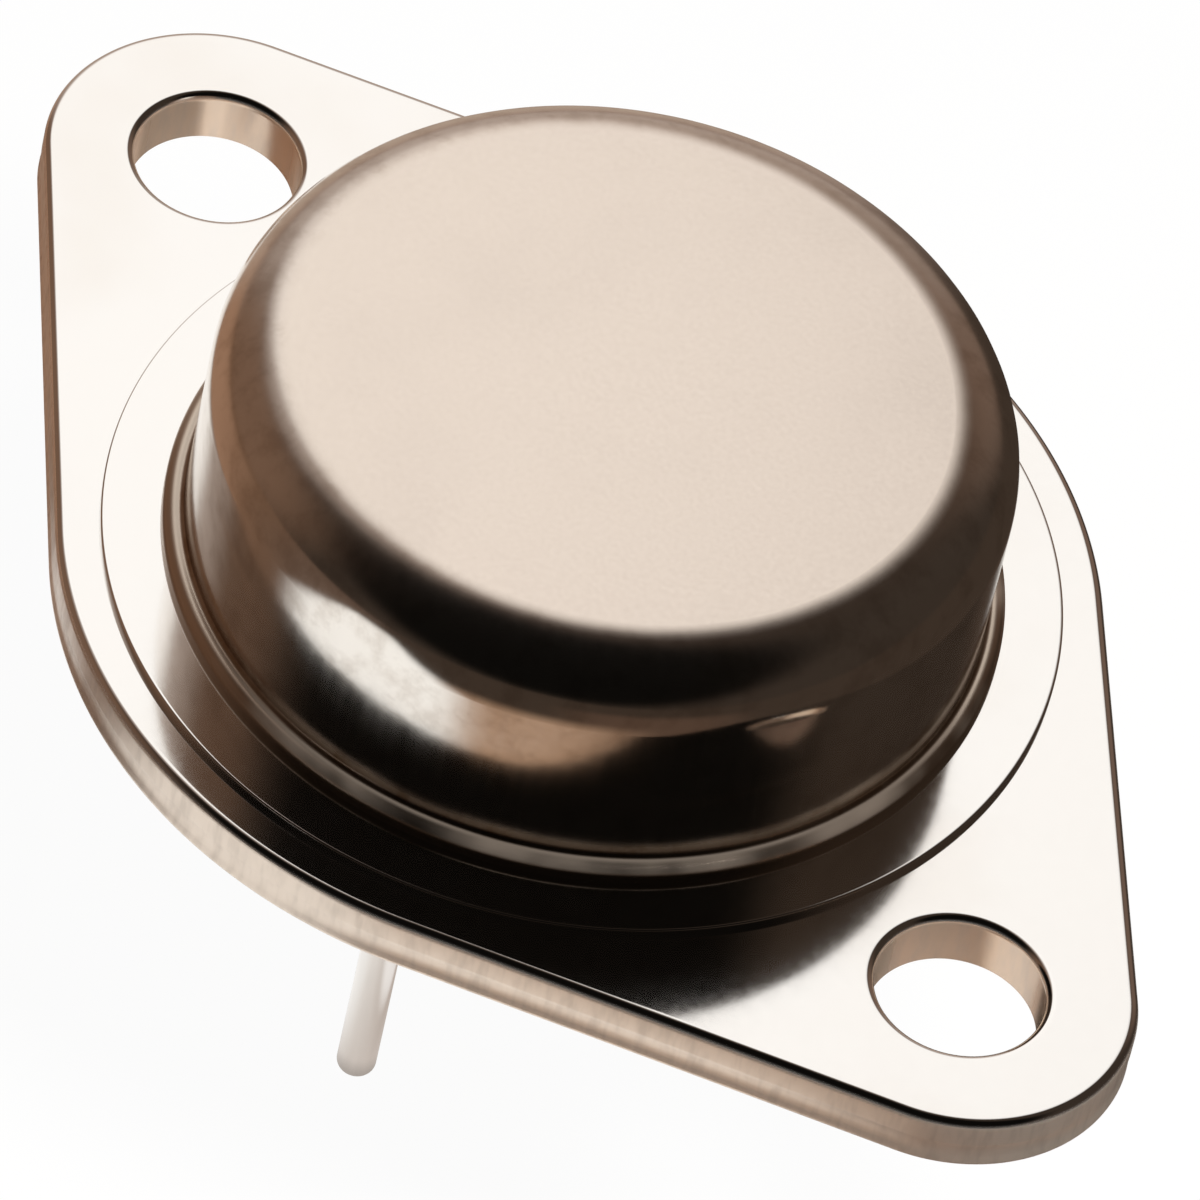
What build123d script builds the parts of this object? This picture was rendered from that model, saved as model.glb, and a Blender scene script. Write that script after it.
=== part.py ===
from build123d import *
import os

# Three-terminal voltage regulator in a two-pin power metal package, in millimetres.
# The origin is the centre of the seating face. +Z points from it to the cap, and +X runs along
# the line of the two mounting holes, to the side that the pins are set towards. The case is
# the third terminal.

# Cap: a drawn steel can with a weld flange
cap_r = 9.72
cap_h = 6.67
cap_wall = 0.5
shoulder_r = 1.85
flange_reach = 0.48
flange_t = 0.45
flange_edge_r = 0.3
flange_flat = 0.04
foot_inner_r = 0.3

# Base plate: a blanked and coined steel header
hole_spacing = 30.15
mounting_hole_r = 2.05
ear_wall = 2.22
hole_mouth_r = 0.2
plate_t = 1.45
blanked_edge_r = 0.22
burr_edge_r = 0.06
platform_ledge = 1.45
platform_h = 0.2
platform_edge_r = 0.05
waist_border = 1.05

# Pins, sealed into the header with glass
pin_r = 0.485
pin_length = 12.4
pin_offset = 1.65
pin_spacing = 11.1
pin_tip_r = 0.32
pin_rise = 0.95
pin_swell = 0.045
swell_start = 0.15
nail_head_r = 0.75
nail_head_t = 0.35
nail_head_edge_r = 0.08
seal_wall = 1.215
seal_inset = 0.06
meniscus_depth = 0.14

# Heat spreader and the chip on it
spreader_length = 9.0
spreader_gap = 0.45
spreader_t = 1.2
spreader_corner_r = 0.5
spreader_edge_r = 0.12
braze_t = 0.05
braze_margin = 0.12
chip_length = 2.7
chip_width = 2.4
chip_t = 0.3
solder_t = 0.05
solder_margin = 0.1
pad_side = 0.62
pad_t = 0.02
pad_border = 0.1
pad_gap = 0.12

# Bond wires: round wire that ends in a flattened foot
wire_r = 0.1
wire_rise = 1.0
wire_drop = 0.45
wire_lift = 0.012
wire_bend_r = 0.3
wire_slope_run = 0.75
foot_length = 0.5
foot_width = 0.3
foot_t = 0.1
foot_lap = 0.12
foot_pitch = 0.42
ground_reach = 2.4

# Sizes that follow from the ones above
flange_r = cap_r + flange_reach
flange_root_r = flange_reach - flange_edge_r - flange_flat
platform_r = flange_r + platform_ledge
waist_r = platform_r + waist_border
ear_r = mounting_hole_r + ear_wall
seal_r = pin_r + seal_wall
spreader_width = pin_spacing - 2 * (seal_r + spreader_gap)

# Levels above the seating face
deck_z = plate_t + platform_h
nail_head_z = deck_z + pin_rise
shank_top_z = nail_head_z - nail_head_t
spreader_z = deck_z + braze_t
spreader_top_z = spreader_z + spreader_t
chip_z = spreader_top_z + solder_t
chip_top_z = chip_z + chip_t
pad_top_z = chip_top_z + pad_t

# Which side of the hole line each pin stands on
pin_sides = {"input": -1, "output": 1}

# Bond pads, as places on the chip's upper face
pad_inset = pad_border + pad_side / 2
pad_x = chip_length / 2 - pad_inset
pad_y = chip_width / 2 - pad_inset
pads = {
    "input": (pad_x, -pad_y),
    "output": (pad_x, pad_y),
    "sense": (pad_x - pad_side - pad_gap, pad_y),
    "ground": (-pad_x, 0),
}

# Where each wire's far foot lands: on a pin's head, or for ground on the heat spreader
landings = {
    "input": Vector(pin_offset, -pin_spacing / 2, nail_head_z),
    "output": Vector(pin_offset + foot_pitch / 2, pin_spacing / 2, nail_head_z),
    "sense": Vector(pin_offset - foot_pitch / 2, pin_spacing / 2, nail_head_z),
    "ground": Vector(-chip_length / 2 - ground_reach, 0, spreader_top_z),
}

# Two lengths closer than this count as the same
same = 1e-4

os.makedirs("parts", exist_ok=True)


def rims(part, radius, level):
    """Circular edges of a part with this radius at this level above the seating face."""
    return part.edges().filter_by(GeomType.CIRCLE).filter_by(
        lambda edge: abs(edge.radius - radius) < same and abs(edge.arc_center.Z - level) < same
    )


def shank_r(level):
    """Radius of a pin's shank, which swells from just below the seating face to its head."""
    return pin_r + pin_swell * (level + swell_start) / (shank_top_z + swell_start)


# Base plate: two ears and a round waist joined by straight tangents, with a raised round
# platform for the cap, two mounting holes and two eyelets for the pins' seals
with BuildPart() as base_plate:
    with BuildSketch():
        with GridLocations(hole_spacing, 0, 2, 1):
            Circle(ear_r)
        Circle(waist_r)
        make_hull()
    extrude(amount=plate_t)
    fillet(base_plate.edges().group_by(Axis.Z)[-1], blanked_edge_r)
    fillet(base_plate.edges().group_by(Axis.Z)[0], burr_edge_r)
    with BuildSketch(Plane.XY.offset(plate_t)):
        Circle(platform_r)
    extrude(amount=platform_h)
    fillet(rims(base_plate, platform_r, deck_z), platform_edge_r)
    with BuildSketch():
        with GridLocations(hole_spacing, 0, 2, 1):
            Circle(mounting_hole_r)
        with Locations((pin_offset, 0)):
            with GridLocations(0, pin_spacing, 1, 2):
                Circle(seal_r)
    extrude(amount=deck_z, mode=Mode.SUBTRACT)
    fillet(rims(base_plate, mounting_hole_r, plate_t), hole_mouth_r)
base_plate.part.label = "base_plate"
export_step(base_plate.part, "parts/base_plate.step")

# The space inside the cap, one wall in from its outside
cavity_r = cap_r - cap_wall
cavity_h = cap_h - cap_wall
with BuildPart() as cavity:
    with BuildSketch(Plane.XY.offset(deck_z)):
        Circle(cavity_r)
    extrude(amount=cavity_h)
    fillet(rims(cavity, cavity_r, deck_z + cavity_h), shoulder_r - cap_wall)

# Cap: a flanged can, open below
with BuildPart() as cap:
    with BuildSketch(Plane.XY.offset(deck_z)):
        Circle(flange_r)
    extrude(amount=flange_t)
    fillet(rims(cap, flange_r, deck_z + flange_t), flange_edge_r)
    with BuildSketch(Plane.XY.offset(deck_z)):
        Circle(cap_r)
    extrude(amount=cap_h)
    fillet(rims(cap, cap_r, deck_z + cap_h), shoulder_r)
    fillet(rims(cap, cap_r, deck_z + flange_t), flange_root_r)
    add(cavity.part, mode=Mode.SUBTRACT)
    fillet(rims(cap, cavity_r, deck_z), foot_inner_r)
cap.part.label = "cap"
export_step(cap.part, "parts/cap.step")

for terminal, side in pin_sides.items():
    pin_axis = Axis((pin_offset, side * pin_spacing / 2, 0), (0, 0, 1))
    section = Plane(origin=pin_axis.position, x_dir=(1, 0, 0), z_dir=(0, -1, 0))

    # Pin: a straight wire with a rounded tip below and a flat nail head for the bonds, whose
    # heading has swelled the wire under it a little
    with BuildPart() as pin:
        with BuildSketch(section):
            with BuildLine():
                Polyline(
                    (0, -pin_length),
                    (pin_r, -pin_length),
                    (pin_r, -swell_start),
                    (shank_r(shank_top_z), shank_top_z),
                    (nail_head_r, shank_top_z),
                    (nail_head_r, nail_head_z),
                    (0, nail_head_z),
                    close=True,
                )
            make_face()
        revolve(axis=pin_axis)
        fillet(rims(pin, pin_r, -pin_length), pin_tip_r)
        fillet(rims(pin, nail_head_r, nail_head_z), nail_head_edge_r)
    pin.part.label = f"{terminal}_pin"
    export_step(pin.part, f"parts/{terminal}_pin.step")

    # Seal: a glass bead that fills the eyelet around the pin, hollowed at both ends where
    # the glass crept up the metal
    glass_mid = (pin_r + seal_r) / 2
    glass_top_z = deck_z - seal_inset
    foot_point = (shank_r(seal_inset), seal_inset)
    neck_point = (shank_r(glass_top_z), glass_top_z)
    with BuildPart() as seal:
        with BuildSketch(section):
            with BuildLine():
                ThreePointArc(
                    foot_point, (glass_mid, seal_inset + meniscus_depth), (seal_r, seal_inset)
                )
                Line((seal_r, seal_inset), (seal_r, glass_top_z))
                ThreePointArc(
                    (seal_r, glass_top_z), (glass_mid, glass_top_z - meniscus_depth), neck_point
                )
                Line(neck_point, foot_point)
            make_face()
        revolve(axis=pin_axis)
    seal.part.label = f"{terminal}_seal"
    export_step(seal.part, f"parts/{terminal}_seal.step")

# Braze: the thin layer that holds the heat spreader to the platform
with BuildPart() as spreader_braze:
    with BuildSketch(Plane.XY.offset(deck_z)):
        RectangleRounded(
            spreader_length + 2 * braze_margin,
            spreader_width + 2 * braze_margin,
            spreader_corner_r + braze_margin,
        )
    extrude(amount=braze_t)
spreader_braze.part.label = "spreader_braze"
export_step(spreader_braze.part, "parts/spreader_braze.step")

# Heat spreader: a copper slab between the two pins
with BuildPart() as heat_spreader:
    with BuildSketch(Plane.XY.offset(spreader_z)):
        RectangleRounded(spreader_length, spreader_width, spreader_corner_r)
    extrude(amount=spreader_t)
    fillet(heat_spreader.edges().group_by(Axis.Z)[-1], spreader_edge_r)
heat_spreader.part.label = "heat_spreader"
export_step(heat_spreader.part, "parts/heat_spreader.step")

# Chip solder: the layer under the chip, with a narrow border round it
with BuildPart() as chip_solder:
    with BuildSketch(Plane.XY.offset(spreader_top_z)):
        Rectangle(chip_length + 2 * solder_margin, chip_width + 2 * solder_margin)
    extrude(amount=solder_t)
chip_solder.part.label = "chip_solder"
export_step(chip_solder.part, "parts/chip_solder.step")

# Chip: the regulator circuit's silicon
with BuildPart() as chip:
    with BuildSketch(Plane.XY.offset(chip_z)):
        Rectangle(chip_length, chip_width)
    extrude(amount=chip_t)
chip.part.label = "chip"
export_step(chip.part, "parts/chip.step")

# Bond pads: four squares of aluminium film on the chip
with BuildPart() as bond_pads:
    with BuildSketch(Plane.XY.offset(chip_top_z)):
        with Locations(*pads.values()):
            Rectangle(pad_side, pad_side)
    extrude(amount=pad_t)
bond_pads.part.label = "bond_pads"
export_step(bond_pads.part, "parts/bond_pads.step")

# Bond wires: each leaves its pad, loops over the chip's edge and comes down to its landing
for terminal, (start_x, start_y) in pads.items():
    start = Vector(start_x, start_y, pad_top_z)
    end = landings[terminal]
    span = Vector(end.X - start.X, end.Y - start.Y, 0)
    step = end.Z - start.Z
    along = span.normalized()
    upright = Plane(origin=start, x_dir=along, z_dir=along.cross(Vector(0, 0, 1)))
    heel = foot_length / 2
    wire_level = wire_r + wire_lift
    with BuildPart() as wire:
        with BuildLine(upright) as route:
            FilletPolyline(
                (heel - foot_lap, wire_level),
                (heel + wire_bend_r, wire_level),
                (heel + wire_slope_run, wire_rise),
                (span.length - heel - wire_slope_run, wire_rise - wire_drop),
                (span.length - heel - wire_bend_r, step + wire_level),
                (span.length - heel + foot_lap, step + wire_level),
                radius=wire_bend_r,
            )
        with BuildSketch(Plane(origin=route.line @ 0, z_dir=route.line % 0)):
            Circle(wire_r)
        sweep(path=route.line)
        for foot_centre in (start, end):
            with BuildSketch(Plane(origin=foot_centre, x_dir=along, z_dir=(0, 0, 1))):
                SlotOverall(foot_length, foot_width)
            extrude(amount=foot_t)
    wire.part.label = f"{terminal}_wire"
    export_step(wire.part, f"parts/{terminal}_wire.step")
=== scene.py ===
"""Dressed model of a three-terminal voltage regulator in a two-pin metal power package.

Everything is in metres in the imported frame: the origin is the centre of the seating face, +Z
points to the cap and +X runs along the line of the two mounting holes. The shells that show are
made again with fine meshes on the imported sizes, because their plating mirrors every facet. The
pieces inside the sealed can keep their own meshes and get their finishes here.
"""

import logging
import math
from dataclasses import dataclass
from enum import Enum
from typing import Any, NamedTuple, Sequence

import bmesh
import bpy
from mathutils import Matrix, Vector


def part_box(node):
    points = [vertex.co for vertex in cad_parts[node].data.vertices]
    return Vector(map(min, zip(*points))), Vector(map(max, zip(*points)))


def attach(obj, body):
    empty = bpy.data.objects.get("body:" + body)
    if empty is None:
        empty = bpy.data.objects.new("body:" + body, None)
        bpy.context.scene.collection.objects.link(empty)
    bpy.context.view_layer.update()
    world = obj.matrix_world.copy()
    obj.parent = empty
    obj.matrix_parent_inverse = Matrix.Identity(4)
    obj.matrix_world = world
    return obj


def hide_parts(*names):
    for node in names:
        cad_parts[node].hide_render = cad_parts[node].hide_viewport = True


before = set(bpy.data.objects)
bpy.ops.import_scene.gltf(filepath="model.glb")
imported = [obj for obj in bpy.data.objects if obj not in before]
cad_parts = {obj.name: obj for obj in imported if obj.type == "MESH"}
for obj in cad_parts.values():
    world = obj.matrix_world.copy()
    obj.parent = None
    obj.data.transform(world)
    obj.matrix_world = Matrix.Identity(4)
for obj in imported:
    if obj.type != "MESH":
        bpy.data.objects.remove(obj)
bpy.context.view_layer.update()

log = logging.getLogger("regulator")

MM = 0.001
QUARTER_TURN = math.pi / 2
CREASE_ANGLE = math.radians(32)
WELD_DISTANCE = 0.0001 * MM
GUARD_GAP = 0.04 * MM
AXIS_GAP = 0.1 * MM
WHITE = (1.0, 1.0, 1.0)
Colour = tuple[float, float, float]
Loop = list[bmesh.types.BMVert]


class Value:
    """One number, colour or vector in a node tree. Operators on it add Math nodes."""

    def __init__(self, graph: "Graph", socket: bpy.types.NodeSocket) -> None:
        """Wraps an output socket of a node in the graph."""
        self.graph = graph
        self.socket = socket

    def _math(self, operation: str, *terms: Any) -> "Value":
        """Adds one Math node and returns its result."""
        return self.graph.add(
            "ShaderNodeMath", {"operation": operation}, dict(enumerate(terms))
        )[0]

    def __add__(self, other: Any) -> "Value":
        """Adds a number or a value."""
        return self._math("ADD", self, other)

    __radd__ = __add__

    def __sub__(self, other: Any) -> "Value":
        """Takes a number or a value away."""
        return self._math("SUBTRACT", self, other)

    def __rsub__(self, other: Any) -> "Value":
        """Takes this value away from a number."""
        return self._math("SUBTRACT", other, self)

    def __mul__(self, other: Any) -> "Value":
        """Multiplies by a number or a value."""
        return self._math("MULTIPLY", self, other)

    __rmul__ = __mul__

    def __truediv__(self, other: Any) -> "Value":
        """Divides by a number or a value."""
        return self._math("DIVIDE", self, other)

    def __pow__(self, other: Any) -> "Value":
        """Raises to a power."""
        return self._math("POWER", self, other)

    def __abs__(self) -> "Value":
        """Drops the sign."""
        return self._math("ABSOLUTE", self)


class Graph:
    """Adds nodes to a material's, a world's or a geometry tree."""

    def __init__(self, tree: bpy.types.NodeTree) -> None:
        """Wraps a node tree and empties it."""
        self.tree = tree
        tree.nodes.clear()

    def add(
        self,
        kind: str,
        settings: dict[str, Any] | None = None,
        sockets: dict[str | int, Any] | None = None,
    ) -> list[Value]:
        """Adds one node.

        Args:
            kind: The node's type, such as ShaderNodeMath.
            settings: Properties of the node, set before its sockets.
            sockets: Values or links of its inputs, by name or number.

        Returns:
            The node's outputs that are in use with these settings.
        """
        node = self.tree.nodes.new(kind)
        for key, setting in (settings or {}).items():
            setattr(node, key, setting)
        for key, term in (sockets or {}).items():
            wanted = [s for s in node.inputs if s.enabled] if isinstance(key, int) else None
            socket = wanted[key] if wanted else self._input(node, str(key))
            if isinstance(term, Value):
                self.tree.links.new(term.socket, socket)
            else:
                socket.default_value = self._fitted(socket, term)
        return [Value(self, output) for output in node.outputs if output.enabled]

    @staticmethod
    def _input(node: bpy.types.Node, name: str) -> bpy.types.NodeSocket:
        """Finds a node's enabled input by its name."""
        return next(s for s in node.inputs if s.name == name and s.enabled)

    @staticmethod
    def _fitted(socket: bpy.types.NodeSocket, term: Any) -> Any:
        """Gives a colour its alpha where the socket holds four numbers."""
        if socket.type == "RGBA" and len(term) == 3:
            return (*term, 1.0)
        return term

    def mix(self, factor: Any, low: Any, high: Any) -> Value:
        """Blends two colours, from low at 0 to high at 1."""
        return self.add(
            "ShaderNodeMix",
            {"data_type": "RGBA", "clamp_factor": True},
            {"Factor": factor, "A": low, "B": high},
        )[0]

    def noise(self, point: Value, pitch: float, detail: float = 2.0, rough: float = 0.5) -> Value:
        """Smooth noise from 0 to 1.

        Args:
            point: Where the noise is read.
            pitch: Size of one blotch, in metres.
            detail: How many finer layers are added.
            rough: Strength of the finer layers.

        Returns:
            The noise value.
        """
        return self.add(
            "ShaderNodeTexNoise",
            {"noise_dimensions": "3D"},
            {"Vector": point, "Scale": 1 / pitch, "Detail": detail, "Roughness": rough},
        )[0]

    def ease(
        self, value: Value, start: float, end: float, low: float = 0.0, high: float = 1.0
    ) -> Value:
        """Eases from low to high as a value goes from start to end, and holds outside."""
        return self.add(
            "ShaderNodeMapRange",
            {"interpolation_type": "SMOOTHSTEP", "clamp": True},
            {"Value": value, "From Min": start, "From Max": end, "To Min": low, "To Max": high},
        )[0]

    def upright(self, point: Value, squash: float) -> Value:
        """Squashes a pattern's Z coordinate, which draws its marks out along Z."""
        return self.add(
            "ShaderNodeMapping", {"vector_type": "POINT"},
            {"Vector": point, "Scale": (1.0, 1.0, squash)},
        )[0]

    def bump(self, height: Value, depth: float, strength: float) -> Value:
        """A normal bent by a height field.

        Args:
            height: The field, in units of the depth.
            depth: What one unit of height stands for, in metres.
            strength: Share of the bend that is kept.

        Returns:
            The normal.
        """
        return self.add(
            "ShaderNodeBump", None, {"Strength": strength, "Distance": depth, "Height": height}
        )[0]

    def split(self, vector: Value) -> list[Value]:
        """A vector's three parts."""
        return self.add("ShaderNodeSeparateXYZ", None, {0: vector})

    def place(self) -> Value:
        """Object coordinates, in metres."""
        return self.add("ShaderNodeTexCoord")[3]


@dataclass(frozen=True)
class Finish:
    """A surface finish. Subclasses add what varies over the surface."""

    name: str
    colour: Colour
    roughness: float
    metallic: float = 1.0

    def material(self) -> bpy.types.Material:
        """Builds the procedural material.

        Returns:
            The finished material.
        """
        material = bpy.data.materials.new(self.name)
        material.use_nodes = True
        graph = Graph(material.node_tree)
        sockets = {
            "Base Color": self.colour, "Metallic": self.metallic, "Roughness": self.roughness,
            **self.dress(graph, graph.place()),
        }
        surface = graph.add("ShaderNodeBsdfPrincipled", None, sockets)[0]
        graph.add("ShaderNodeOutputMaterial", None, {"Surface": surface})
        return material

    def dress(self, graph: Graph, place: Value) -> dict[str, Any]:
        """Gives the shader's sockets that vary over the surface.

        Args:
            graph: The material's nodes.
            place: Object coordinates, in metres.

        Returns:
            Values for the shader's sockets, by name.
        """
        cloud = graph.noise(place, 1.1 * MM, 3.0)
        grain = graph.noise(place, 0.06 * MM, 2.0)
        darker = tuple(0.72 * part for part in self.colour)
        return {
            "Base Color": graph.mix(graph.ease(cloud, 0.3, 0.75), self.colour, darker),
            "Roughness": self.roughness + 0.18 * (cloud - 0.5),
            "Normal": graph.bump(grain, 0.004 * MM, 0.25),
        }


@dataclass(frozen=True)
class PlatedSheet(Finish):
    """Bright plating over a blanked plate: mirror faces, matt sheared sides."""

    side_colour: Colour = (0.88, 0.77, 0.67)
    side_roughness: float = 0.36
    side_metallic: float = 0.8
    face_level: float = 0.0
    hole_offset: float = 0.0
    hole_radius: float = 0.0
    # Hole walls: partly their own sheared tone, partly a painted reflection of the shaded floor
    # under the plate.
    bore_colour: Colour = (0.80, 0.63, 0.49)
    bore_roughness: float = 0.2
    bore_metallic: float = 0.68
    stain_colour: Colour = (0.82, 0.76, 0.70)

    def dress(self, graph: Graph, place: Value) -> dict[str, Any]:
        """Adds stains, fine scratches and the upright tears of the sheared sides."""
        normal = graph.add("ShaderNodeNewGeometry")[1]
        upright = abs(graph.split(normal)[2])
        x, y, level = graph.split(place)
        beside = abs(x) - self.hole_offset
        away = (beside * beside + y * y) ** 0.5
        bore = graph.ease(away, self.hole_radius + 0.5 * MM, self.hole_radius + 0.3 * MM)
        side = graph.ease(upright, 0.75, 0.25) * graph.ease(
            level, self.face_level, self.face_level - 0.15 * MM
        )
        cloud = graph.noise(place, 7.0 * MM, 3.0)
        speck = graph.noise(place, 0.3 * MM, 2.0, 0.6)
        tears = graph.noise(graph.upright(place, 0.22), 0.3 * MM, 2.0, 0.6)
        face = graph.mix(graph.ease(cloud, 0.45, 0.8, 0.0, 0.6), self.colour, self.stain_colour)
        # The hole walls take a colour that is partly their own and partly a painted reflection of
        # the shaded floor.
        plain = graph.mix(bore, self.side_colour, self.bore_colour)
        torn_colour = tuple(0.72 * part for part in self.side_colour)
        torn = graph.mix(graph.ease(tears, 0.4, 0.75, 0.0, 0.45), plain, torn_colour)
        matt = bore * (self.bore_roughness - self.side_roughness) + self.side_roughness
        metallic = bore * (self.bore_metallic - self.side_metallic) + self.side_metallic
        height = side * tears * (1.8 - 1.5 * bore) + (1 - side) * 0.2 * speck
        rough = self.roughness + 0.06 * (speck - 0.5) + 0.05 * (cloud - 0.5)
        return {
            "Metallic": 1.0 + (metallic - 1.0) * side,
            "Base Color": graph.mix(side, face, torn),
            "Roughness": rough * (1 - side) + side * (matt + 0.2 * (tears - 0.5)),
            "Normal": graph.bump(height, 0.003 * MM, 0.5),
        }


@dataclass(frozen=True)
class DrawnCan(Finish):
    """Plating over a drawn can: a satin top, a wall that the die polished, a dull welded flange."""

    wall_radius: float = 0.0
    foot_level: float = 0.0
    satin_roughness: float = 0.22
    satin_metallic: float = 0.8
    satin_colour: Colour = (0.745, 0.65, 0.57)
    weld_roughness: float = 0.3
    weld_colour: Colour = (0.62, 0.52, 0.43)
    worn_metallic: float = 0.78
    # Brown mixed into the wall's blotches and into the band at its foot.
    heat_colour: Colour = (0.34, 0.25, 0.18)

    def dress(self, graph: Graph, place: Value) -> dict[str, Any]:
        """Adds the satin top, draw marks up the wall, a few stains and the marks of the weld."""
        x, y, level = graph.split(place)
        radius = (x * x + y * y) ** 0.5

        def outward(start: float, end: float) -> Value:
            """Goes from nought to one between two distances outside the wall, in millimetres."""
            return graph.ease(radius, self.wall_radius + start * MM, self.wall_radius + end * MM)

        def upward(start: float, end: float) -> Value:
            """Goes from nought to one between two heights above the foot, in millimetres."""
            return graph.ease(level, self.foot_level + start * MM, self.foot_level + end * MM)

        cloud = graph.noise(place, 5.0 * MM, 3.0)
        weld = outward(0.03, 0.15)
        cloudy_rim = outward(0.14, 0.28) * graph.ease(cloud, 0.7, 0.45)
        worn = outward(0.08, 0.16) * upward(0.22, 0.32) * (1 - cloudy_rim)
        # Darker, rougher band at the foot of the can, fading out between 0.5 and 1.2 mm above it.
        foot_band = upward(1.2, 0.5)
        top = outward(-1.35, -1.85)
        grain = graph.noise(place, 0.12 * MM, 2.0, 0.65)
        draw = graph.noise(graph.upright(place, 0.05), 0.25 * MM, 1.0)
        wave = graph.noise(place, 1.3 * MM, 2.0)
        base = graph.mix(outward(-0.8, -1.6), self.colour, self.satin_colour)
        stain_colour = tuple(0.85 * part for part in self.satin_colour)
        stained = graph.mix(graph.ease(cloud, 0.4, 0.8, 0.0, 0.35), base, stain_colour)
        blotch = graph.ease(graph.noise(place, 0.9 * MM, 4.0, 0.6), 0.42, 0.72, 0.0, 0.28)
        tinted = graph.mix((1 - top) * blotch + 0.8 * foot_band, stained, self.heat_colour)
        marks = 0.05 * (draw - 0.5) + 0.04 * (cloud - 0.5)
        wall = self.roughness + marks + 0.2 * foot_band + 0.09 * outward(-0.1, -0.7)
        satin = self.satin_roughness + 0.1 * (grain - 0.5)
        height = (1 - top) * (0.5 * draw + 0.2 * grain + 6.0 * wave)
        return {
            "Base Color": graph.mix(weld, tinted, self.weld_colour),
            "Metallic": 1.0 + (self.worn_metallic - 1.0) * worn + (self.satin_metallic - 1.0) * top,
            "Roughness": (wall * (1 - top) + satin * top) * (1 - weld) + self.weld_roughness * weld,
            "Normal": graph.bump(height, 0.002 * MM, 0.4),
        }


@dataclass(frozen=True)
class DippedWire(Finish):
    """Plated wire with a thin uneven coat, duller at its cropped end."""

    end_level: float = 0.0

    def dress(self, graph: Graph, place: Value) -> dict[str, Any]:
        """Adds runs along the wire and a duller end."""
        level = graph.split(place)[2]
        end = graph.ease(level, self.end_level + 0.9 * MM, self.end_level + 0.1 * MM)
        runs = graph.noise(graph.upright(place, 0.18), 0.35 * MM, 3.0)
        grain = graph.noise(place, 0.07 * MM, 2.0)
        dull = tuple(0.55 * part for part in self.colour)
        return {
            "Base Color": graph.mix(0.7 * end + 0.25 * runs, self.colour, dull),
            "Roughness": self.roughness + 0.15 * (runs - 0.5) + 0.15 * end,
            "Normal": graph.bump(runs + 0.3 * grain, 0.004 * MM, 0.4),
        }


@dataclass(frozen=True)
class SealGlass(Finish):
    """Dark sealing glass with fine bubbles."""

    metallic: float = 0.0

    def dress(self, graph: Graph, place: Value) -> dict[str, Any]:
        """Adds a cloudy tint and bubbles just under the skin."""
        cloud = graph.noise(place, 0.6 * MM, 3.0)
        cells = graph.add(
            "ShaderNodeTexVoronoi", None, {"Vector": place, "Scale": 1 / (0.16 * MM)}
        )[0]
        bubble = graph.ease(cells, 0.22, 0.05)
        lighter = tuple(min(1.0, 2.6 * part) for part in self.colour)
        share = 0.5 * graph.ease(cloud, 0.4, 0.8) + 0.3 * bubble
        return {
            "Base Color": graph.mix(share, self.colour, lighter),
            "Roughness": self.roughness + 0.08 * (cloud - 0.5),
            "Normal": graph.bump(bubble, 0.006 * MM, 0.3),
        }


@dataclass(frozen=True)
class EtchedSilicon(Finish):
    """The chip's face: blocks of fine tracks that shift the colour a little."""

    metallic: float = 0.35

    def dress(self, graph: Graph, place: Value) -> dict[str, Any]:
        """Adds blocks of tracks in a square pattern."""
        blocks = graph.add(
            "ShaderNodeTexBrick", {"offset": 0.5, "squash": 0.7},
            {"Vector": place, "Scale": 1 / (0.4 * MM), "Color1": (0.1, 0.1, 0.1),
             "Color2": (0.9, 0.9, 0.9), "Mortar": (0.5, 0.5, 0.5), "Mortar Size": 0.03},
        )
        tracks = graph.add(
            "ShaderNodeTexWave", {"wave_type": "BANDS", "bands_direction": "X"},
            {"Vector": place, "Scale": 1 / (0.2 * MM), "Distortion": 0.0},
        )[1]
        tint = graph.mix(0.4, (0.28, 0.2, 0.36), blocks[0])
        return {
            "Base Color": graph.mix(0.25 * tracks, self.colour, tint),
            "Roughness": self.roughness + 0.1 * (tracks - 0.5),
        }


class Corner(NamedTuple):
    """One corner of a turned profile, in metres."""

    radius: float
    level: float
    fillet: float = 0.0


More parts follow.
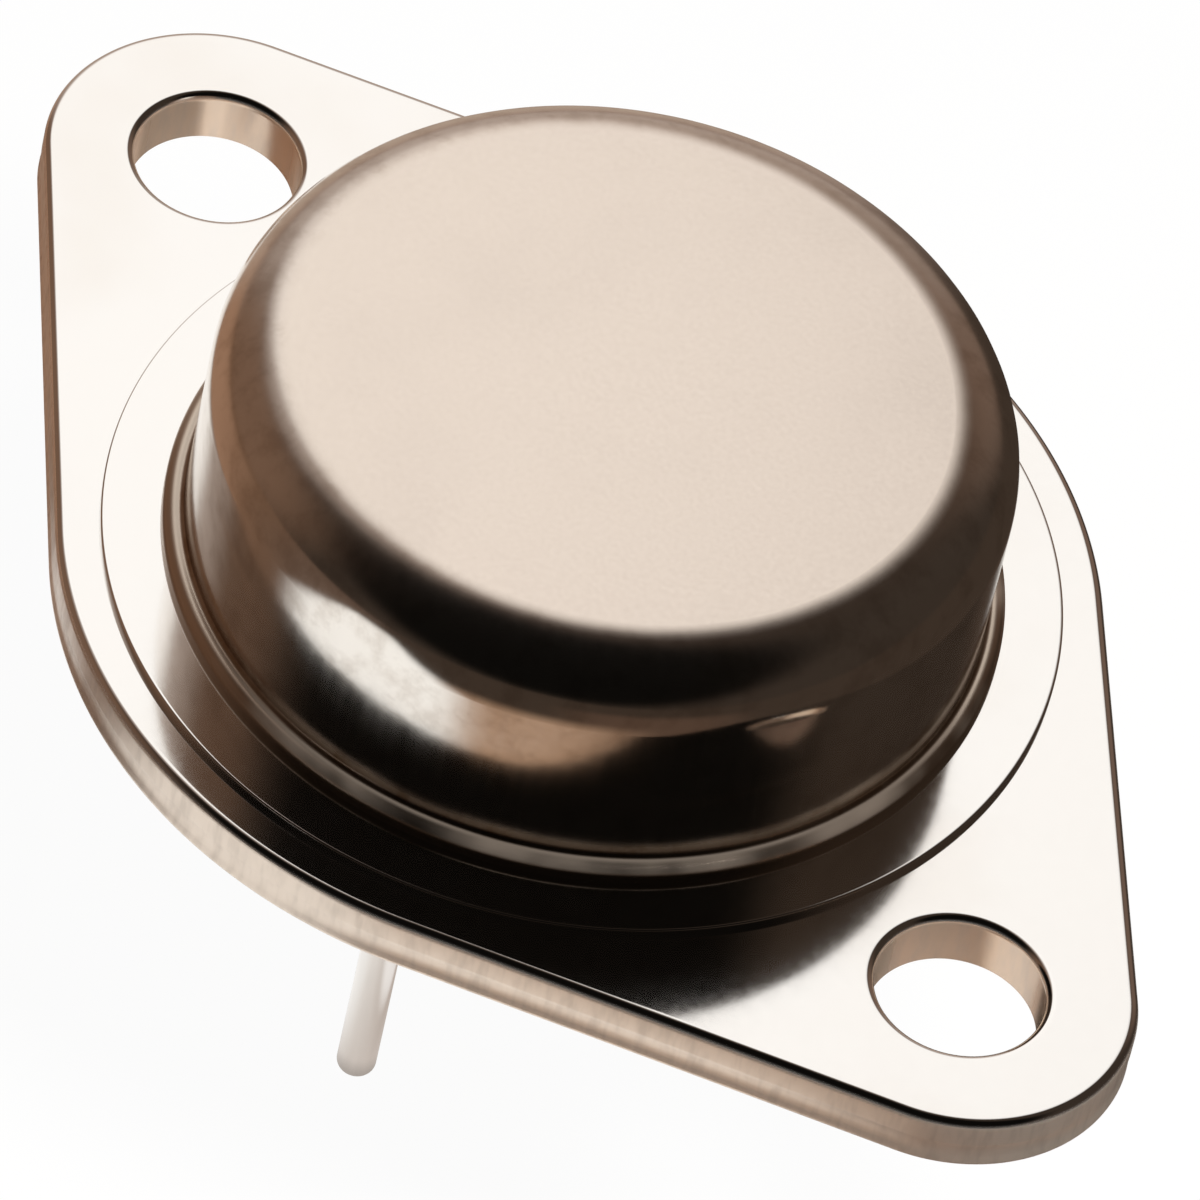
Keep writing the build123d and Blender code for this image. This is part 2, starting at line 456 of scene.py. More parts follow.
class Turning:
    """Turns profiles about upright axes with one Geometry Nodes tree."""

    FILLET = "fillet"
    SPINDLE = 1.0 * MM

    def __init__(self, facets: int = 320, arc_steps: int = 12) -> None:
        """Builds the tree.

        Args:
            facets: Faces round the axis.
            arc_steps: Points along each filleted corner.
        """
        self.facets = facets
        self.arc_steps = arc_steps
        self.tree = bpy.data.node_groups.new("turned_profile", "GeometryNodeTree")
        self._lay_out()

    def _lay_out(self) -> None:
        """Adds the tree's inputs and nodes."""
        face = self.tree.interface
        face.new_socket("Profile", in_out="INPUT", socket_type="NodeSocketGeometry")
        for name, kind in (
            ("Facets", "NodeSocketInt"), ("Arc Steps", "NodeSocketInt"),
            ("Spindle", "NodeSocketFloat"), ("Weld", "NodeSocketFloat"),
            ("Crease", "NodeSocketFloat"), ("Centre", "NodeSocketVector"),
            ("Finish", "NodeSocketMaterial"),
        ):
            face.new_socket(name, in_out="INPUT", socket_type=kind)
        face.new_socket("Solid", in_out="OUTPUT", socket_type="NodeSocketGeometry")
        graph = Graph(self.tree)
        given = graph.add("NodeGroupInput")
        profile, facets, steps, spindle, weld, crease, centre, finish = given[:8]
        radius, _, level = graph.split(graph.add("GeometryNodeInputPosition")[0])
        flat = graph.add(
            "ShaderNodeCombineXYZ", None, {0: radius - spindle, 1: 0 - level, 2: 0.0}
        )[0]
        drawn = graph.add(
            "GeometryNodeSetPosition", None, {"Geometry": profile, "Position": flat}
        )[0]
        outline = graph.add("GeometryNodeMeshToCurve", None, {"Mesh": drawn})[0]
        fillet = graph.add(
            "GeometryNodeInputNamedAttribute", {"data_type": "FLOAT"}, {"Name": self.FILLET}
        )[0]
        rounded = graph.add(
            "GeometryNodeFilletCurve", {"mode": "POLY"},
            {"Curve": outline, "Count": steps, "Radius": fillet, "Limit Radius": False},
        )[0]
        circle = graph.add(
            "GeometryNodeCurvePrimitiveCircle", {"mode": "RADIUS"},
            {"Resolution": facets, "Radius": spindle},
        )[0]
        turned = graph.add(
            "GeometryNodeCurveToMesh", None,
            {"Curve": circle, "Profile Curve": rounded, "Fill Caps": False},
        )[0]
        welded = graph.add(
            "GeometryNodeMergeByDistance", {"mode": "ALL"}, {"Geometry": turned, "Distance": weld}
        )[0]
        smooth = graph.add(
            "GeometryNodeSetShadeSmooth", {"domain": "FACE"},
            {"Geometry": welded, "Shade Smooth": True},
        )[0]
        angle = graph.add("GeometryNodeInputMeshEdgeAngle")[0]
        sharp = graph.add(
            "FunctionNodeCompare", {"data_type": "FLOAT", "operation": "GREATER_THAN"},
            {"A": angle, "B": crease},
        )[0]
        creased = graph.add(
            "GeometryNodeSetShadeSmooth", {"domain": "EDGE"},
            {"Geometry": smooth, "Selection": sharp, "Shade Smooth": False},
        )[0]
        placed = graph.add(
            "GeometryNodeTransform", None, {"Geometry": creased, "Translation": centre}
        )[0]
        single = graph.add("GeometryNodeRealizeInstances", None, {"Geometry": placed})[0]
        done = graph.add(
            "GeometryNodeSetMaterial", None, {"Geometry": single, "Material": finish}
        )[0]
        graph.add("NodeGroupOutput", None, {"Solid": done})

    def turn(
        self,
        name: str,
        corners: Sequence[Corner],
        centre: tuple[float, float],
        finish: bpy.types.Material,
        ring: bool = False,
    ) -> bpy.types.Object:
        """Turns one profile into a plain mesh object.

        Args:
            name: The new object's name.
            corners: The profile, from the axis round to the axis, or all round for a ring.
            centre: Where the upright axis stands.
            finish: The material.
            ring: True if the profile closes on itself and misses the axis.

        Returns:
            The object, with its place in its mesh.
        """
        edges = [(i, i + 1) for i in range(len(corners) - 1)]
        if ring:
            edges.append((len(corners) - 1, 0))
        outline = bpy.data.meshes.new(f"{name}_profile")
        outline.from_pydata([(c.radius, 0.0, c.level) for c in corners], edges, [])
        fillets = outline.attributes.new(self.FILLET, "FLOAT", "POINT")
        fillets.data.foreach_set("value", [c.fillet for c in corners])
        blank = bpy.data.objects.new(f"{name}_blank", outline)
        bpy.context.collection.objects.link(blank)
        modifier = blank.modifiers.new("turning", "NODES")
        modifier.node_group = self.tree
        sizes = {
            "Facets": self.facets, "Arc Steps": self.arc_steps, "Spindle": self.SPINDLE,
            "Weld": WELD_DISTANCE, "Crease": CREASE_ANGLE, "Centre": (*centre, 0.0),
            "Finish": finish,
        }
        for item in self.tree.interface.items_tree:
            if item.in_out == "INPUT" and item.name in sizes:
                modifier[item.identifier] = sizes[item.name]
        evaluated = blank.evaluated_get(bpy.context.evaluated_depsgraph_get())
        mesh = bpy.data.meshes.new_from_object(evaluated)
        bpy.data.objects.remove(blank)
        return finished_piece(name, mesh, finish)


def finished_piece(name: str, mesh: bpy.types.Mesh, finish: bpy.types.Material) -> bpy.types.Object:
    """Turns a mesh's faces outwards and makes an object of it.

    Args:
        name: The object's name.
        mesh: A closed mesh in its final place.
        finish: The material.

    Returns:
        The linked object.
    """
    work = bmesh.new()
    work.from_mesh(mesh)
    bmesh.ops.recalc_face_normals(work, faces=work.faces)
    open_edges = sum(1 for edge in work.edges if not edge.is_manifold)
    work.to_mesh(mesh)
    work.free()
    mesh.name = name
    mesh.materials.clear()
    mesh.materials.append(finish)
    piece = bpy.data.objects.new(name, mesh)
    bpy.context.collection.objects.link(piece)
    log.info("%s: %d faces, %d open edges", name, len(mesh.polygons), open_edges)
    return piece


def with_guards(corners: Sequence[Corner], guard: float = GUARD_GAP) -> list[Corner]:
    """Adds a plain point to each straight just outside its fillets, so that flats shade flat.

    Args:
        corners: A profile's corners.
        guard: Gap between a fillet's end and its guard point.

    Returns:
        The corners with the guard points among them.
    """
    guarded: list[Corner] = []
    for index, corner in enumerate(corners):
        here = Vector((corner.radius, corner.level))
        sides: list[Corner | None] = [None, None]
        for slot, step in enumerate((-1, 1)):
            other = index + step
            if not 0 <= other < len(corners) or not corner.fillet:
                continue
            before, after = corners[index - 1], corners[(index + 1) % len(corners)]
            one = (Vector((before.radius, before.level)) - here).normalized()
            two = (Vector((after.radius, after.level)) - here).normalized()
            reach = corner.fillet / math.tan(one.angle(two) / 2) + guard
            run = Vector((corners[other].radius, corners[other].level)) - here
            taken = corners[other].fillet
            if run.length > reach + taken + 2 * guard:
                point = here + run.normalized() * reach
                sides[slot] = Corner(point.x, point.y)
        guarded += [side for side in (sides[0], corner, sides[1]) if side]
    return guarded


@dataclass
class Cap:
    """The drawn can with its weld flange."""

    turning: Turning
    radius: float = 9.72 * MM
    wall: float = 0.5 * MM
    shoulder: float = 1.85 * MM
    flange_thickness: float = 0.45 * MM
    flange_edge: float = 0.3 * MM
    flange_flat: float = 0.04 * MM
    foot_inner: float = 0.3 * MM
    crown: float = 0.1 * MM
    crown_steps: int = 24

    def build(self) -> bpy.types.Object:
        """Builds the can on its packed box and puts it on the frame."""
        low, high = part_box("cap")
        flange = high.x
        root = flange - self.radius - self.flange_edge - self.flange_flat
        ledge = low.z + self.flange_thickness
        finish = DrawnCan(
            "cap_plating", (0.92, 0.88, 0.83), 0.13,
            wall_radius=self.radius, foot_level=low.z,
        )
        inner = self.radius - self.wall
        crowned = self.radius - self.shoulder
        slope = 2 * self.crown / crowned
        shares = [step / self.crown_steps for step in range(self.crown_steps)]
        profile = [Corner(crowned * share, high.z - self.crown * share ** 2) for share in shares]
        profile += [
            Corner(self.radius, high.z - self.crown - slope * self.shoulder, self.shoulder),
            Corner(self.radius, ledge, root),
            Corner(flange, ledge, self.flange_edge),
            Corner(flange, low.z),
            Corner(inner, low.z, self.foot_inner),
            Corner(inner, high.z - self.wall, self.shoulder - self.wall),
            Corner(0.0, high.z - self.wall),
        ]
        piece = self.turning.turn("cap_can", with_guards(profile), (0.0, 0.0), finish.material())
        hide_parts("cap")
        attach(piece, "root")
        return piece


@dataclass
class Header:
    """The blanked header plate with its coined platform, holes and eyelets."""

    hole_spacing: float = 30.15 * MM
    hole_radius: float = 2.05 * MM
    hole_mouth: float = 0.2 * MM
    top_edge: float = 0.22 * MM
    burr_edge: float = 0.06 * MM
    platform_edge: float = 0.05 * MM
    platform_rise: float = 0.2 * MM
    platform_radius: float = 11.65 * MM
    eyelet_radius: float = 1.7 * MM
    eyelet_offset: float = 1.65 * MM
    eyelet_spacing: float = 11.1 * MM
    tear_depth: float = 0.035 * MM
    tear_level: float = 0.62 * MM
    guard: float = GUARD_GAP
    ear_steps: int = 90
    waist_steps: int = 70
    hole_steps: int = 128
    platform_steps: int = 256
    eyelet_steps: int = 96

    def __post_init__(self) -> None:
        """Takes the plate's reach from its packed box."""
        low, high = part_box("base_plate")
        self.deck = high.z
        self.face = high.z - self.platform_rise
        self.seat = low.z
        self.waist = high.y
        self.ear = high.x - self.hole_spacing / 2

    def outline(self, inset: float, level: float) -> list[Vector]:
        """The plate's outline, drawn in by an inset.

        Args:
            inset: How far inside the true outline.
            level: Height above the seating face.

        Returns:
            Points anticlockwise, in the same number for every inset.
        """
        half = self.hole_spacing / 2
        lean = math.acos((self.waist - self.ear) / half)
        arcs = [
            (half, self.ear, -lean, lean, self.ear_steps),
            (0.0, self.waist, lean, math.pi - lean, self.waist_steps),
            (-half, self.ear, math.pi - lean, math.pi + lean, self.ear_steps),
            (0.0, self.waist, math.pi + lean, 2 * math.pi - lean, self.waist_steps),
        ]
        points = []
        for centre, radius, start, end, steps in arcs:
            reach = radius - inset
            for step in range(steps + 1):
                turn = start + (end - start) * step / steps
                x, y = centre + reach * math.cos(turn), reach * math.sin(turn)
                points.append(Vector((x, y, level)))
        return points

    @staticmethod
    def ring(
        centre: tuple[float, float], radius: float, level: float, steps: int
    ) -> list[Vector]:
        """Points round an upright circle, anticlockwise."""
        turns = (2 * math.pi * step / steps for step in range(steps))
        return [
            Vector((centre[0] + radius * math.cos(t), centre[1] + radius * math.sin(t), level))
            for t in turns
        ]

    @staticmethod
    def rounding(edge: float, steps: int) -> list[tuple[float, float]]:
        """Insets and drops of the points round an edge, from its side up to its face."""
        turns = (QUARTER_TURN * step / steps for step in range(steps + 1))
        return [(edge * (1 - math.cos(turn)), edge * (1 - math.sin(turn))) for turn in turns]

    def side_levels(self) -> list[tuple[float, float]]:
        """Inset and level of each loop up the plate's side, with the torn lower zone."""
        burr = reversed(self.rounding(self.burr_edge, 3))
        steps = [(self.burr_edge + self.guard, self.seat)]
        steps += [(inset, self.seat + rise) for inset, rise in burr]
        steps += [
            (0.0, self.seat + 0.12 * MM),
            (self.tear_depth, self.seat + 0.22 * MM),
            (self.tear_depth, self.tear_level),
            (0.3 * self.tear_depth, self.tear_level + 0.06 * MM),
            (0.0, self.tear_level + 0.14 * MM),
            (0.0, self.face - self.top_edge - self.guard),
        ]
        steps += [(inset, self.face - drop) for inset, drop in self.rounding(self.top_edge, 10)]
        steps.append((self.top_edge + self.guard, self.face))
        return steps

    def hole_loops(self, centre: tuple[float, float]) -> list[list[Vector]]:
        """Loops up the wall of a mounting hole and over its rolled mouth."""
        mouth = self.rounding(self.hole_mouth, 8)
        sizes = [
            (self.guard, self.seat), (0.0, self.seat),
            (0.0, self.face - self.hole_mouth - self.guard),
            *((wider, self.face - drop) for wider, drop in mouth),
            (self.hole_mouth + self.guard, self.face),
        ]
        return [
            self.ring(centre, self.hole_radius + wider, level, self.hole_steps)
            for wider, level in sizes
        ]

    def platform_loops(self) -> list[list[Vector]]:
        """Loops up the side of the coined platform and over its edge."""
        edge = self.rounding(self.platform_edge, 4)
        sizes = [
            (-self.guard, self.face), (0.0, self.face),
            *((inset, self.deck - drop) for inset, drop in edge),
            (self.platform_edge + self.guard, self.deck),
        ]
        return [
            self.ring((0.0, 0.0), self.platform_radius - inset, level, self.platform_steps)
            for inset, level in sizes
        ]

    def eyelet_loops(self, centre: tuple[float, float]) -> list[list[Vector]]:
        """Loops up the wall of a hole that a glass seal fills."""
        levels = (self.seat, self.deck)
        return [self.ring(centre, self.eyelet_radius, z, self.eyelet_steps) for z in levels]

    def build(self) -> bpy.types.Object:
        """Builds the plate as one closed mesh and puts it on the frame."""
        work = bmesh.new()

        def lay(points: Sequence[Vector]) -> Loop:
            """Adds one loop of vertices."""
            return [work.verts.new(point) for point in points]

        def bridge(lower: Loop, upper: Loop) -> None:
            """Joins two loops with a band of faces."""
            count = len(lower)
            for i in range(count):
                j = (i + 1) % count
                work.faces.new((lower[i], lower[j], upper[j], upper[i]))

        def stack(loops: list[list[Vector]]) -> tuple[Loop, Loop]:
            """Joins several loops one after another and returns the first and the last."""
            laid = [lay(points) for points in loops]
            for lower, upper in zip(laid, laid[1:]):
                bridge(lower, upper)
            return laid[0], laid[-1]

        def fill(*rims: Loop) -> None:
            """Fills the flat region between an outline and its holes."""
            edges = []
            for rim in rims:
                count = len(rim)
                for i in range(count):
                    pair = (rim[i], rim[(i + 1) % count])
                    edges.append(work.edges.get(pair) or work.edges.new(pair))
            bmesh.ops.triangle_fill(work, use_beauty=True, use_dissolve=False, edges=edges)

        sides = [self.outline(inset, level) for inset, level in self.side_levels()]
        seat_rim, face_rim = stack(sides)
        seat_holes, face_holes, deck_holes = [], [], []
        for side in (-1, 1):
            low, high = stack(self.hole_loops((side * self.hole_spacing / 2, 0.0)))
            seat_holes.append(low)
            face_holes.append(high)
        platform_foot, platform_rim = stack(self.platform_loops())
        for side in (-1, 1):
            centre = (self.eyelet_offset, side * self.eyelet_spacing / 2)
            low, high = stack(self.eyelet_loops(centre))
            seat_holes.append(low)
            deck_holes.append(high)

        fill(seat_rim, *seat_holes)
        fill(face_rim, platform_foot, *face_holes)
        fill(platform_rim, *deck_holes)
        for face in work.faces:
            face.smooth = True
        bmesh.ops.remove_doubles(work, verts=work.verts, dist=WELD_DISTANCE)
        bmesh.ops.recalc_face_normals(work, faces=work.faces)
        for line in work.edges:
            if line.is_manifold and line.calc_face_angle() > CREASE_ANGLE:
                line.smooth = False
        mesh = bpy.data.meshes.new("header_plate")
        work.to_mesh(mesh)
        work.free()
        finish = PlatedSheet(
            "header_plating", (0.88, 0.85, 0.82), 0.1, face_level=self.face,
            hole_offset=self.hole_spacing / 2, hole_radius=self.hole_radius,
        )
        piece = finished_piece("header_plate", mesh, finish.material())
        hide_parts("base_plate")
        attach(piece, "root")
        return piece


class Terminal(Enum):
    """The two pins, by the circuit point that each is bonded to."""

    INPUT = "input"
    OUTPUT = "output"


@dataclass
class PinAndSeal:
    """One pin with the glass bead that holds it in the header."""

    turning: Turning
    terminal: Terminal
    wire_radius: float = 0.485 * MM
    swell: float = 0.045 * MM
    swell_start: float = 0.15 * MM
    head_thickness: float = 0.35 * MM
    head_edge: float = 0.08 * MM
    tip_round: float = 0.32 * MM
    dish: float = 0.14 * MM
    dish_steps: int = 16

    def __post_init__(self) -> None:
        """Takes the pin's place and reach from its packed box."""
        low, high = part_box(f"{self.terminal.value}_pin")
        self.centre = ((low.x + high.x) / 2, (low.y + high.y) / 2)
        self.tip, self.head = low.z, high.z
        self.head_radius = (high.x - low.x) / 2
        self.neck = self.head - self.head_thickness

    def shank(self, level: float) -> float:
        """Radius of the shank, which swells from just below the seating face to the head."""
        climb = (level + self.swell_start) / (self.neck + self.swell_start)
        return self.wire_radius + self.swell * climb

    def build_pin(self, finish: bpy.types.Material) -> bpy.types.Object:
        """Builds the pin and puts it on the frame."""
        profile = [
            Corner(0.0, self.tip),
            Corner(self.wire_radius, self.tip, self.tip_round),
            Corner(self.wire_radius, -self.swell_start),
            Corner(self.shank(self.neck), self.neck),
            Corner(self.head_radius, self.neck),
            Corner(self.head_radius, self.head, self.head_edge),
            Corner(0.0, self.head),
        ]
        piece = self.turning.turn(f"{self.terminal.value}_lead", profile, self.centre, finish)
        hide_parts(f"{self.terminal.value}_pin")
        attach(piece, "root")
        return piece

    def build_seal(self, finish: bpy.types.Material) -> bpy.types.Object:
        """Builds the glass bead, hollowed at both ends, and puts it on the frame."""
        low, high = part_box(f"{self.terminal.value}_seal")
        outer = (high.x - low.x) / 2
        middle = (self.wire_radius + outer) / 2
        profile = []
        for level, bulge in ((low.z, 1), (high.z, -1)):
            inner = self.shank(level)
            arc = []
            for step in range(self.dish_steps + 1):
                radius = inner + (outer - inner) * step / self.dish_steps
                hollow = self.dish * (1 - ((radius - middle) / (outer - middle)) ** 2)
                arc.append(Corner(radius, level + bulge * max(0.0, hollow)))
            profile += arc if bulge > 0 else arc[::-1]
        piece = self.turning.turn(
            f"{self.terminal.value}_bead", profile, self.centre, finish, ring=True
        )
        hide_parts(f"{self.terminal.value}_seal")
        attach(piece, "root")
        return piece


@dataclass
class SealedInside:
    """The pieces in the sealed can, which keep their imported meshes."""

    def dress(self) -> None:
        """Gives each inner node its finish."""
        copper = Finish("spreader_copper", (0.86, 0.47, 0.33), 0.25)
        finishes = {
            "spreader_braze": Finish("braze_alloy", (0.83, 0.74, 0.55), 0.35),
            "heat_spreader": copper,
            "chip_solder": Finish("soft_solder", (0.68, 0.68, 0.67), 0.4),
            "chip": EtchedSilicon("chip_silicon", (0.16, 0.17, 0.2), 0.2),
            "bond_pads": Finish("pad_aluminium", (0.86, 0.87, 0.88), 0.3),
        }
        wire = Finish("bond_wire_aluminium", (0.88, 0.88, 0.88), 0.28).material()
        for node, finish in finishes.items():
            self._assign(node, finish.material())
        for node in ("input_wire", "output_wire", "sense_wire", "ground_wire"):
            self._assign(node, wire)

    @staticmethod
    def _assign(node: str, material: bpy.types.Material) -> None:
        """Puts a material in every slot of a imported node."""
        for piece_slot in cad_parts[node].material_slots:
            piece_slot.material = material
        log.info("%s: %s", node, material.name)


@dataclass(frozen=True)
class Glow:
    """A soft-edged round patch of the studio, seen from the object.

    Attributes:
        azimuth: Azimuth of the middle, in degrees.
        elevation: Elevation of the middle, in degrees.
        inner: Angle from the middle where the patch starts to fade.
        outer: Angle from the middle where it has gone.
        colour: The light's colour and strength.
    """

    azimuth: float
    elevation: float
    inner: float
    outer: float
    colour: Colour

    def mask(self, graph: Graph, direction: Value) -> Value:
        """One inside the patch and nought outside it."""
        middle = heading(self.azimuth, self.elevation)
        along = graph.add(
            "ShaderNodeVectorMath", {"operation": "DOT_PRODUCT"}, {0: direction, 1: middle}
        )[0]
        inner, outer = (math.cos(math.radians(angle)) for angle in (self.inner, self.outer))
        return graph.ease(along, outer, inner)


def heading(azimuth: float, elevation: float) -> Vector:
    """Unit vector from the object, with azimuth 0 towards -Y and 90 towards +X, in degrees."""
    turn, lift = math.radians(azimuth), math.radians(elevation)
    flat = math.cos(lift)
    return Vector((math.sin(turn) * flat, -math.cos(turn) * flat, math.sin(lift)))


@dataclass(frozen=True)
class Patch:
    """A soft-edged patch of painted light and shade on the floor, seen only in the plating's
    reflections.

    Attributes:
        azimuth: Direction from the object's axis, in degrees.
        colour: The painted light and shade there, pale for a pool of light and dark for a shadow.
    """

    azimuth: float
    colour: Colour

    def mask(self, graph: Graph, x: Value, y: Value) -> Value:
        """One inside the patch and nought outside it."""
        raise NotImplementedError

    def split(self, x: Value, y: Value) -> tuple[Value, Value]:
        """Distances along the patch's direction and across it."""
        ahead = heading(self.azimuth, 0)
        return x * ahead.x + y * ahead.y, y * ahead.x - x * ahead.y


@dataclass(frozen=True)
class Sector(Patch):
    """A wedge of floor that starts at the object's axis.

    Attributes:
        spread: Angles from the middle where it starts to fade and where it has gone.
        reach: Distances from the axis where it starts to fade and where it has gone, in mm.
    """

    spread: tuple[float, float]
    reach: tuple[float, float]

    def mask(self, graph: Graph, x: Value, y: Value) -> Value:
        """One inside the wedge and nought outside it."""
        along = self.split(x, y)[0]
        away = (x * x + y * y) ** 0.5
        inner, outer = (math.cos(math.radians(angle)) for angle in self.spread)
        near, far = self.reach
        wedge = graph.ease(along / (away + AXIS_GAP), outer, inner)
        return wedge * graph.ease(away, far * MM, near * MM)


@dataclass(frozen=True)
class Strip(Patch):
    """A strip of floor that runs out from the object.

    Attributes:
        half_width: Distances from its middle where it starts to fade and where it has gone.
        reach: Distances along it where it starts to fade and where it has gone, in mm.
        aside: How far the middle lies to the side of the object's axis, in mm.
    """

    half_width: tuple[float, float]
    reach: tuple[float, float]
    aside: float

    START = 15 * MM

    def mask(self, graph: Graph, x: Value, y: Value) -> Value:
        """One inside the strip and nought outside it."""
        along, across = self.split(x, y)
        inner, outer = self.half_width
        near, far = self.reach
        run = graph.ease(along, 0.0, self.START) * graph.ease(along, far * MM, near * MM)
        return graph.ease(abs(across - self.aside * MM), outer * MM, inner * MM) * run


@dataclass
class Studio:
    """Floor, light and camera."""

    azimuth: float = 43.60
    elevation: float = 47.35
    roll: float = 13.14
    distance: float = 377.0 * MM
    lens: float = 472.6
    aim: tuple[float, float, float] = (0.819 * MM, 0.0136 * MM, 0.939 * MM)
    floor_level: float = -12.4 * MM
    floor_half: float = 3.0
    floor_glow: float = 0.96
    paper: Colour = (0.9, 0.885, 0.87)
    surroundings: Colour = (0.040, 0.029, 0.022)
    floor_shade: Colour = (0.048, 0.033, 0.024)
    lamp_azimuth: float = 50.0
    lamp_elevation: float = 60.0
    lamp_distance: float = 170.0 * MM
    lamp_size: float = 60.0 * MM
    lamp_power: float = 0.4
    lamp_colour: Colour = (1.0, 0.97, 0.94)

    def glows(self) -> list[Glow]:
        """The studio's patches. Each one covers those before it."""
        here = self.azimuth
        return [
            Glow(here - 114, 14, 12, 50, (0.175, 0.102, 0.066)),
            Glow(here - 150, 52, 6, 24, (0.40, 0.33, 0.29)),
            Glow(here + 165, 15, 8, 38, (0.175, 0.115, 0.085)),
            Glow(here - 168, 10, 8, 37, (0.47, 0.39, 0.34)),
            Glow(here - 162, 32, 7, 20, (0.86, 0.80, 0.76)),
            Glow(here - 168, 46, 9, 21, (1.13, 1.12, 1.10)),
            Glow(here - 1, 49, 42, 58, (0.004, 0.0035, 0.003)),
        ]

    def patches(self) -> list[Patch]:
        """The floor's painted light and shade, from the far patches to the near. Each one covers
        those before it.
        """
        here = self.azimuth
        return [
            Sector(here - 80, (0.13, 0.085, 0.062), (20, 45), (3000, 4000)),
            Sector(here - 122, (0.155, 0.087, 0.053), (30, 60), (3000, 4000)),
            Sector(here - 165, (0.31, 0.225, 0.185), (12, 40), (3000, 4000)),
            Sector(here - 135, (0.33, 0.19, 0.12), (12, 54), (50, 350)),
            Sector(here - 163, (0.44, 0.34, 0.27), (10, 34), (50, 300)),
            Sector(here + 24, (0.095, 0.058, 0.040), (4, 26), (60, 110)),
            Sector(here - 9, (0.50, 0.32, 0.21), (6, 38), (21, 41)),
            Sector(here - 2, (1.0, 0.93, 0.85), (14, 26), (23, 25)),
            Sector(here + 50, (0.20, 0.125, 0.09), (16, 34), (24, 26.5)),
            Sector(here - 165, (0.13, 0.095, 0.07), (42, 60), (19, 24)),
            Sector(here + 10, (0.50, 0.42, 0.37), (40, 75), (9, 13)),
            Sector(here + 12, (0.95, 0.92, 0.90), (10, 20), (16, 20)),
            Sector(here - 103, (1.0, 0.98, 0.96), (9, 15), (21, 23.5)),
            Strip(here - 45, (1.0, 0.985, 0.955), (7.5, 13.5), (65, 160), 0.5),
            Sector(here - 75, (1.0, 0.99, 0.97), (20, 50), (9, 12)),
        ]

    def light(self) -> None:
        """Makes the surrounding light."""
        world = bpy.data.worlds.new("studio")
        world.use_nodes = True
        graph = Graph(world.node_tree)
        direction = graph.add("ShaderNodeTexCoord")[0]
        colour: Any = self.surroundings
        for glow in self.glows():
            colour = graph.mix(glow.mask(graph, direction), colour, glow.colour)
        lit = graph.add("ShaderNodeBackground", None, {"Color": colour, "Strength": 1.0})[0]
        plain = graph.add("ShaderNodeBackground", None, {"Color": WHITE, "Strength": 1.0})[0]
        camera_ray = graph.add("ShaderNodeLightPath")[0]
        both = graph.add("ShaderNodeMixShader", None, {0: camera_ray, 1: lit, 2: plain})[0]
        graph.add("ShaderNodeOutputWorld", None, {"Surface": both})
        bpy.context.scene.world = world

    def hang_lamp(self) -> None:
        """Hangs the soft lamp that lights the floor from behind the object."""
        data = bpy.data.lights.new("soft_lamp", "AREA")
        data.shape = "DISK"
        data.size = self.lamp_size
        data.energy = self.lamp_power
        data.color = self.lamp_colour
        lamp = bpy.data.objects.new("soft_lamp", data)
        bpy.context.collection.objects.link(lamp)
        towards = heading(self.azimuth + self.lamp_azimuth, self.lamp_elevation)
        facing = towards.to_track_quat("Z", "Y").to_matrix().to_4x4()
        lamp.matrix_world = Matrix.Translation(towards * self.lamp_distance) @ facing
        lamp.visible_camera = False
        lamp.visible_glossy = False

    def lay_floor(self) -> None:
        """Makes the pale floor that the pins stand on. Camera rays see it white; glossy rays see
        painted light and shade.
        """
        half = self.floor_half
        corners = ((-half, -half), (half, -half), (half, half), (-half, half))
        mesh = bpy.data.meshes.new("floor")
        mesh.from_pydata([(x, y, self.floor_level) for x, y in corners], [], [(0, 1, 2, 3)])
        material = bpy.data.materials.new("floor_paper")
        material.use_nodes = True
        graph = Graph(material.node_tree)
        x, y, _ = graph.split(graph.place())
        camera_ray, _, _, glossy_ray = graph.add("ShaderNodeLightPath")[:4]
        # Painted light and shade on the floor: pools of light and shadows that only glossy rays
        # see.
        painted_light_and_shade: Any = self.floor_shade
        for patch in self.patches():
            painted_light_and_shade = graph.mix(patch.mask(graph, x, y), painted_light_and_shade, patch.colour)
        seen = graph.mix(camera_ray, painted_light_and_shade, WHITE)
        paper = graph.add("ShaderNodeBsdfDiffuse", None, {"Color": self.paper})[0]
        glow = graph.add("ShaderNodeEmission", None, {"Color": seen, "Strength": 1.0})[0]
        share = camera_ray * self.floor_glow + glossy_ray
        blend = graph.add("ShaderNodeMixShader", None, {0: share, 1: paper, 2: glow})[0]
        graph.add("ShaderNodeOutputMaterial", None, {"Surface": blend})
        mesh.materials.append(material)
        floor = bpy.data.objects.new("floor", mesh)
        bpy.context.collection.objects.link(floor)

    def place_camera(self) -> None:
        """Stands the camera at its viewing angle."""
        data = bpy.data.cameras.new("camera")
        data.sensor_width = 36.0
        data.lens = self.lens
        data.clip_start, data.clip_end = 0.01, 10.0
        camera = bpy.data.objects.new("camera", data)
        bpy.context.collection.objects.link(camera)
        back = heading(self.azimuth, self.elevation)
        roll = Matrix.Rotation(math.radians(self.roll), 3, "Z")
        turned = (-back).to_track_quat("-Z", "Y").to_matrix() @ roll
        stand = Matrix.Translation(Vector(self.aim) + back * self.distance)
        camera.matrix_world = stand @ turned.to_4x4()
        bpy.context.scene.camera = camera

    def set_up(self) -> None:
        """Makes the light, the floor and the camera."""
        self.light()
        self.hang_lamp()
        self.lay_floor()
        self.place_camera()
        bpy.context.scene.view_settings.view_transform = "Standard"


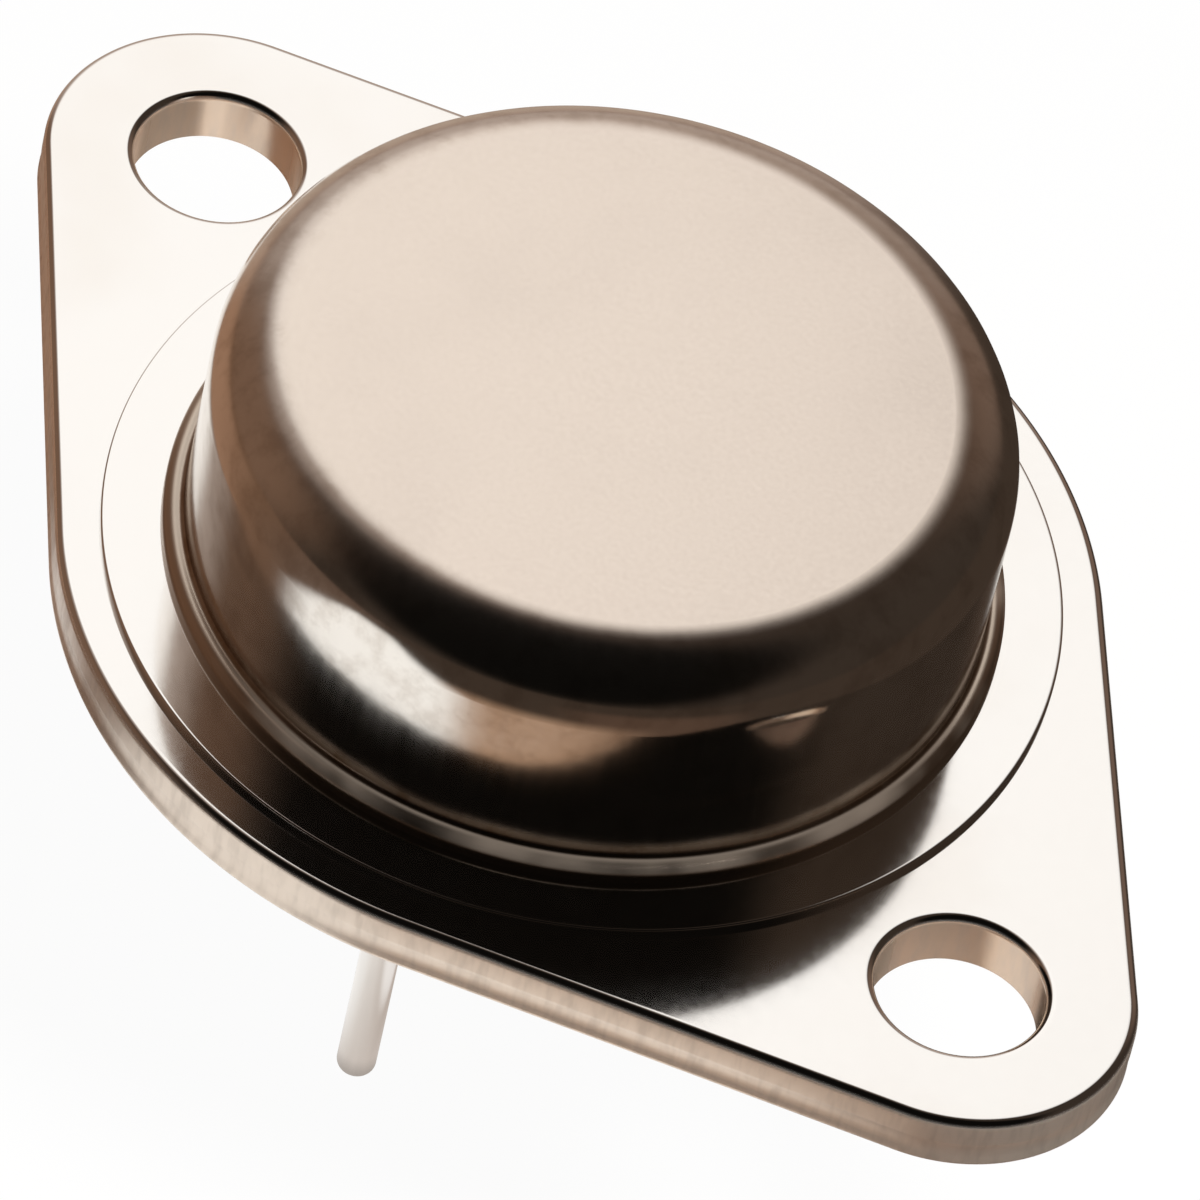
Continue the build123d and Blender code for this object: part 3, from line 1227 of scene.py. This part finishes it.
def main() -> None:
    """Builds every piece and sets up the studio."""
    logging.basicConfig(level=logging.INFO, format="%(name)s %(message)s")
    turning = Turning()
    Cap(turning).build()
    Header().build()
    fine = Turning(facets=96, arc_steps=10)
    tip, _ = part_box("input_pin")
    pin_finish = DippedWire("pin_plating", (0.90, 0.87, 0.84), 0.13, end_level=tip.z)
    glass_finish = SealGlass("seal_glass", (0.035, 0.045, 0.05), 0.12)
    pin_material, glass_material = pin_finish.material(), glass_finish.material()
    for terminal in Terminal:
        pair = PinAndSeal(fine, terminal)
        pair.build_pin(pin_material)
        pair.build_seal(glass_material)
    SealedInside().dress()
    Studio().set_up()


if __name__ == "__main__":
    main()
